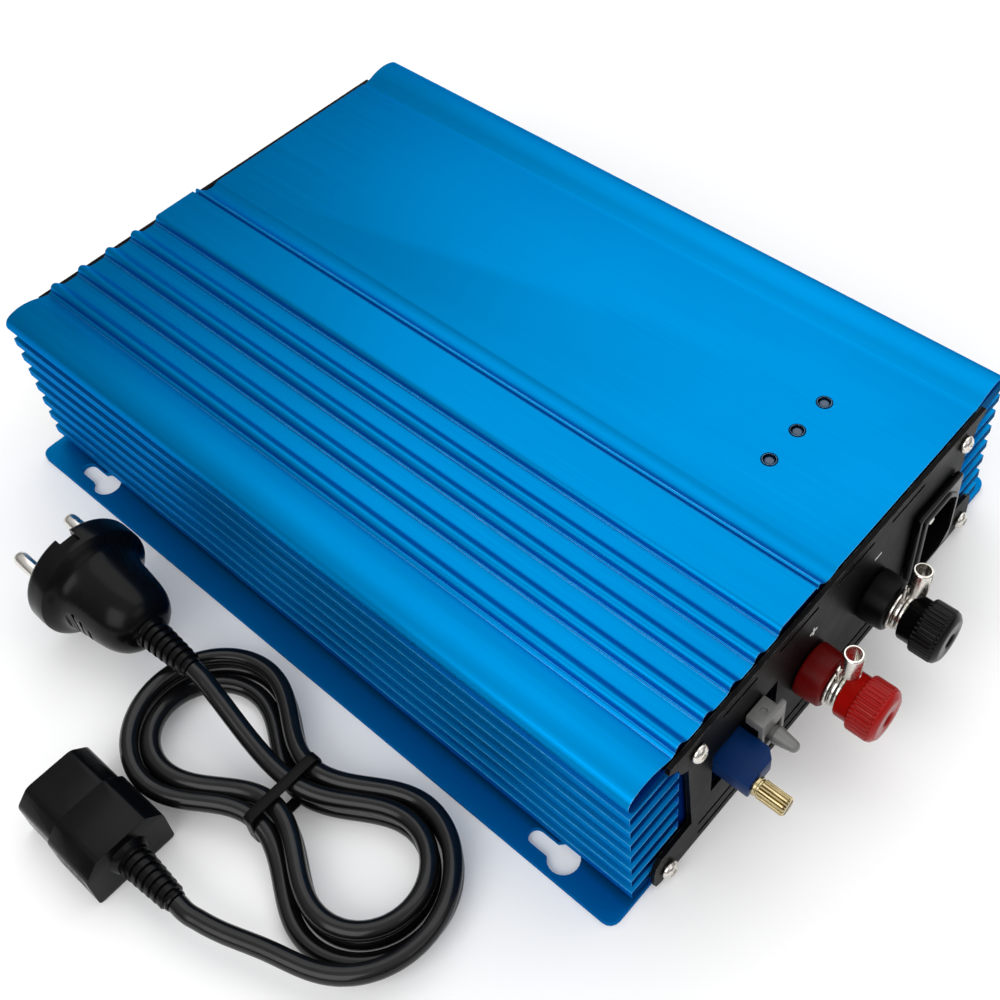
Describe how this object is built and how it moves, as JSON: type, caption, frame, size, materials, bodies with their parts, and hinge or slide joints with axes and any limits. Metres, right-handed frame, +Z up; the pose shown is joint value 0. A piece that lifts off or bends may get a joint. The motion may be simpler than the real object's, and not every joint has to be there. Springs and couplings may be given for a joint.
{
  "type": "micro inverter",
  "caption": "Finned aluminium micro inverter on a keyholed base plate, with screw binding posts, a mains inlet, a start switch, a power dial and a hanked mains lead.",
  "frame": {"origin": "middle of the base plate's underside", "axes": "+Z up out of the base plate, the front panel with the terminals faces -Y, +X to the right seen from the front"},
  "size_m": [0.2786, 0.2927, 0.0631],
  "materials": {
    "blue_anodised": "anodised aluminium, satin, bright blue",
    "blue_base": "anodised aluminium sheet, satin, deep blue",
    "black_paint": "satin black powder coat",
    "nickel": "bright nickel plate",
    "brass": "bare knurled brass",
    "red_plastic": "glossy red moulding",
    "black_plastic": "glossy black moulding",
    "grey_plastic": "satin grey",
    "blue_plastic": "satin navy moulding",
    "lamp_lens": "clear grey lens",
    "circuit_green": "solder mask on fibreglass",
    "ferrite": "bare ferrite",
    "winding_tape": "taped copper winding",
    "cord_rubber": "black PVC sheath, satin"
  },
  "bodies": {
    "housing": {"case_extrusion": "blue_anodised", "base_plate": "blue_base", "front_panel": "black_paint", "rear_panel": "black_paint", "front_screw_1": "nickel", "front_screw_2": "nickel", "front_screw_3": "nickel", "front_screw_4": "nickel", "rear_screw_1": "nickel", "rear_screw_2": "nickel", "rear_screw_3": "nickel", "rear_screw_4": "nickel", "base_screw_1": "nickel", "base_screw_2": "nickel", "base_screw_3": "nickel", "base_screw_4": "nickel", "red_post_stud": "nickel", "red_post_nut": "nickel", "red_post_washer": "nickel", "black_post_stud": "nickel", "black_post_nut": "nickel", "black_post_washer": "nickel", "inlet_line_pin": "nickel", "inlet_earth_pin": "nickel", "inlet_neutral_pin": "nickel", "plug_pin_1": "nickel", "plug_pin_2": "nickel", "standoff_1": "brass", "standoff_2": "brass", "standoff_3": "brass", "standoff_4": "brass", "red_post_bush": "red_plastic", "black_post_bush": "black_plastic", "inlet_housing": "black_plastic", "switch_body": "black_plastic", "capacitor_1": "black_plastic", "capacitor_2": "black_plastic", "fan_frame": "black_plastic", "connector_body": "black_plastic", "plug_body": "black_plastic", "cord_tie": "black_plastic", "switch_frame": "grey_plastic", "dial_body": "blue_plastic", "lamp_1": "lamp_lens", "lamp_2": "lamp_lens", "lamp_3": "lamp_lens", "circuit_board": "circuit_green", "lamp_board": "circuit_green", "transformer_core": "ferrite", "transformer_winding": "winding_tape", "cord_hank": "cord_rubber", "cord_to_connector": "cord_rubber", "cord_to_plug": "cord_rubber"},
    "red_cap": {"red_cap": "red_plastic"},
    "black_cap": {"black_cap": "black_plastic"},
    "red_lug": {"red_ring_lug": "nickel"},
    "black_lug": {"black_ring_lug": "nickel"},
    "dial": {"dial_shaft": "brass"},
    "lever": {"switch_lever": "grey_plastic"},
    "fan": {"fan_rotor": "black_plastic"}
  },
  "joints": [
    {"name": "red_cap_turn", "type": "hinge", "parent": "housing", "child": "red_cap", "pos_m": [-0.012, -0.15, 0.0275], "axis": [0, -1, 0], "range_deg": [0, 360]},
    {"name": "black_cap_turn", "type": "hinge", "parent": "housing", "child": "black_cap", "pos_m": [0.02, -0.15, 0.0275], "axis": [0, -1, 0], "range_deg": [0, 360]},
    {"name": "red_lug_swing", "type": "hinge", "parent": "housing", "child": "red_lug", "pos_m": [-0.012, -0.1425, 0.0275], "axis": [0, -1, 0], "range_deg": [-40, 40]},
    {"name": "black_lug_swing", "type": "hinge", "parent": "housing", "child": "black_lug", "pos_m": [0.02, -0.1425, 0.0275], "axis": [0, -1, 0], "range_deg": [-40, 40]},
    {"name": "dial_turn", "type": "hinge", "parent": "housing", "child": "dial", "pos_m": [-0.0533, -0.148, 0.0343], "axis": [0, -1, 0], "range_deg": [-150, 150]},
    {"name": "lever_throw", "type": "hinge", "parent": "housing", "child": "lever", "pos_m": [-0.038, -0.1335, 0.034], "axis": [0, 0, 1], "range_deg": [-12, 12]},
    {"name": "fan_spin", "type": "hinge", "parent": "housing", "child": "fan", "pos_m": [0, 0.121, 0.031], "axis": [0, 1, 0], "continuous": true}
  ]
}
